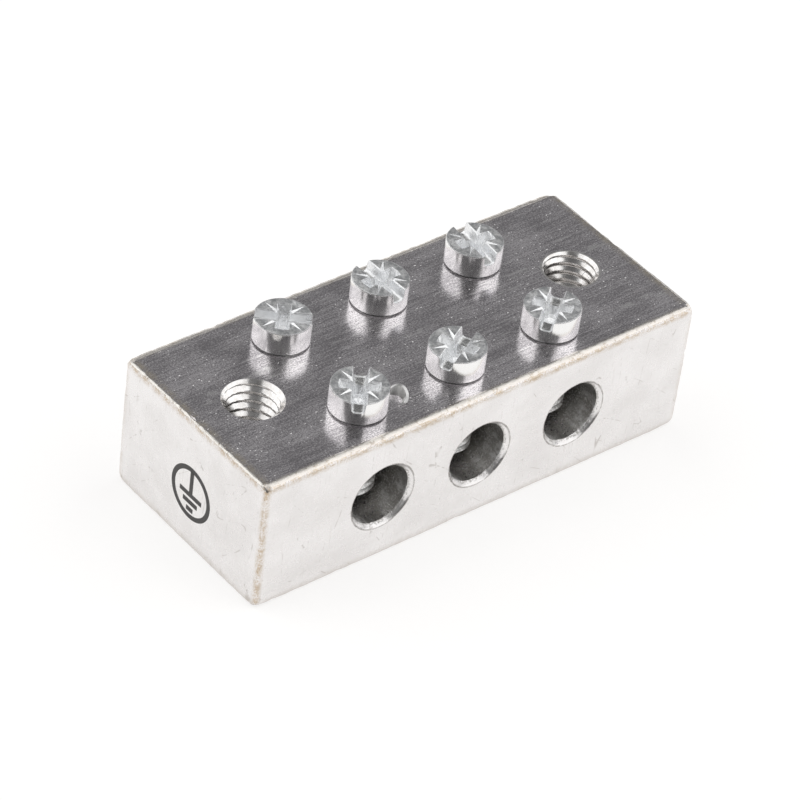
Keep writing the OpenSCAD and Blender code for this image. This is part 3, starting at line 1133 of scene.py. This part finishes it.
def patchy_material(name, metallic, kind, colours, rough, height):
    """A material whose colour, roughness and height follow one noise."""
    start = start_material(name, metallic)
    patches = stretched_noise(start.tree, start.place, *kind)
    colour = mix_colour(start.tree, patches, *colours)
    return dress(start, colour, sloped(start.tree, patches, *rough), total(start.tree, (patches, height)))


# The stage

def direction(heading, lift):
    """A direction from a compass heading and a lift in degrees."""
    turn, lift = math.radians(heading), math.radians(lift)
    return Vector((math.cos(lift) * math.sin(turn), math.cos(lift) * math.cos(turn), math.sin(lift)))


def make_camera():
    """The photograph's camera."""
    data = bpy.data.cameras.new("camera")
    data.sensor_width = CAMERA_SENSOR
    data.lens = CAMERA_LENS
    data.clip_start = CAMERA_CLIP * MM
    camera = add_to_scene("camera", data)
    look = direction(CAMERA_HEADING, -CAMERA_PITCH)
    turn = look.to_track_quat("-Z", "Y").to_matrix() @ Matrix.Rotation(math.radians(CAMERA_ROLL), 3, "Z")
    camera.matrix_world = Matrix.Translation(CAMERA_PLACE * MM) @ turn.to_4x4()
    bpy.context.scene.camera = camera


def make_floor():
    """A wide pale floor that reads as white to the camera and in the metal, and keeps a faint shadow."""
    bm = bmesh.new()
    bmesh.ops.create_grid(bm, x_segments=FLOOR_SQUARES, y_segments=FLOOR_SQUARES, size=FLOOR_HALF)
    floor = new_object("floor", bm)
    floor.data.transform(Matrix.Scale(MM, 4))
    material = bpy.data.materials.new("pale_floor")
    tree = empty_tree(material)
    path = node(tree, "ShaderNodeLightPath")
    seen = larger(tree, path.outputs["Is Camera Ray"], path.outputs["Is Glossy Ray"])
    away = measure(tree, "LENGTH", node(tree, "ShaderNodeTexCoord").outputs["Object"])
    level = ramp(tree, away, FLOOR_NEAR * MM, FLOOR_FAR * MM, FLOOR_GLOW, 1.0)
    glow = node(tree, "ShaderNodeEmission", {"Color": FLOOR_TINT, "Strength": times(tree, seen, level)})
    matt = node(tree, "ShaderNodeBsdfDiffuse", {"Color": (FLOOR_GREY, FLOOR_GREY, FLOOR_GREY, 1)})
    both = node(tree, "ShaderNodeAddShader", {0: glow.outputs[0], 1: matt.outputs[0]})
    node(tree, "ShaderNodeOutputMaterial", {"Surface": both.outputs[0]})
    floor.data.materials.append(material)


def softbox(name, heading):
    """A soft lamp in the direction of a heading, aimed at the block."""
    data = bpy.data.lights.new(name, "AREA")
    data.shape = "RECTANGLE"
    data.size, data.size_y = LAMP_WIDTH * MM, LAMP_TALL * MM
    data.energy = LAMP_BRIGHTNESS * math.pi * data.size * data.size_y
    lamp = add_to_scene(name, data)
    away = direction(heading, LAMP_HEIGHT)
    aim = (-away).to_track_quat("-Z", "Y").to_matrix().to_4x4()
    lamp.matrix_world = Matrix.Translation(away * LAMP_DISTANCE * MM) @ aim


def make_surround():
    """A dim surround, brighter at the sides and overhead and darker behind the camera, which sees white."""
    world = bpy.data.worlds.new("surround")
    tree = empty_tree(world)
    path = node(tree, "ShaderNodeLightPath")
    heading = math.radians(CAMERA_HEADING)
    view = node(tree, "ShaderNodeTexCoord").outputs["Generated"]
    aside = measure(tree, "DOT_PRODUCT", view, (math.cos(heading), -math.sin(heading), 0.0))
    behind = measure(tree, "DOT_PRODUCT", view, (-math.sin(heading), -math.cos(heading), 0.0))
    glow = sloped(tree, calc(tree, "ABSOLUTE", aside), SURROUND_RISE, SURROUND)
    glow = times(tree, glow, ramp(tree, behind, *DIP_RANGE, 1.0, SURROUND_DIP))
    overhead = ramp(tree, parts_of(tree, view)[2], *ABOVE_RANGE, 0.0, SURROUND_ABOVE)
    strength = mix_value(tree, path.outputs["Is Camera Ray"], calc(tree, "ADD", glow, overhead), 1.0)
    sky = node(tree, "ShaderNodeBackground", {"Color": (1.0, 1.0, 1.0, 1), "Strength": strength})
    node(tree, "ShaderNodeOutputWorld", {"Surface": sky.outputs[0]})
    bpy.context.scene.world = world


# Putting it together

def seat(piece, body, slot, material, *nodes):
    """Scales a finished piece to metres, dresses it and hands it to the frame."""
    piece.data.transform(Matrix.Scale(MM, 4))
    piece.data.materials.clear()
    piece.data.materials.append(material)
    shade(piece)
    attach(piece, body)
    if nodes:
        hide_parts(*nodes)


def screw_places():
    """Axis and seat height of each clamp screw, read from the solids."""
    places = {}
    for name in SCREW_TURNS:
        low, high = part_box("clamp_screw_" + name)
        top = Vector(((low.x + high.x) / 2, (low.y + high.y) / 2, high.z)) / MM
        places[name] = top - Vector((0, 0, HEAD_H))
    return places


make_camera()
make_floor()
softbox("light_right", CAMERA_HEADING + LAMP_ASIDE)
softbox("light_left", CAMERA_HEADING - LAMP_ASIDE)
make_surround()
bpy.context.scene.view_settings.view_transform = "Standard"

PLACES = screw_places()
SHANK_LENGTH = PLACES["front_left"].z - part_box("clamp_screw_front_left")[0].z / MM

bar = new_object("block_body", bar_mesh())
cut_away(bar, bore_cutters())
cut_away(bar, tapped_cutters(PLACES.values()))
cut_away(bar, mount_cutters())
seat(bar, "block", NICKEL_SLOT, nickel_material(), BLOCK)

ZINC = zinc_material(SHANK_LENGTH)
master_screw = make_master_screw(SHANK_LENGTH)
for screw_name, slot_turn in SCREW_TURNS.items():
    screw = add_to_scene("screw_" + screw_name, master_screw.data.copy())
    spin = Matrix.Rotation(math.radians(slot_turn), 4, "Z")
    screw.matrix_world = Matrix.Translation(PLACES[screw_name] * MM) @ spin
    seat(screw, "screw_" + screw_name, ZINC_SLOT, ZINC, "clamp_screw_" + screw_name)
bpy.data.objects.remove(master_screw)

seat(earth_sign(), "block", NICKEL_SLOT, patchy_material("marking_ink", 0.0, *INK_LOOK))
seat(metal_chip(), "block", ZINC_SLOT, patchy_material("bright_chip", 1.0, *CHIP_LOOK))
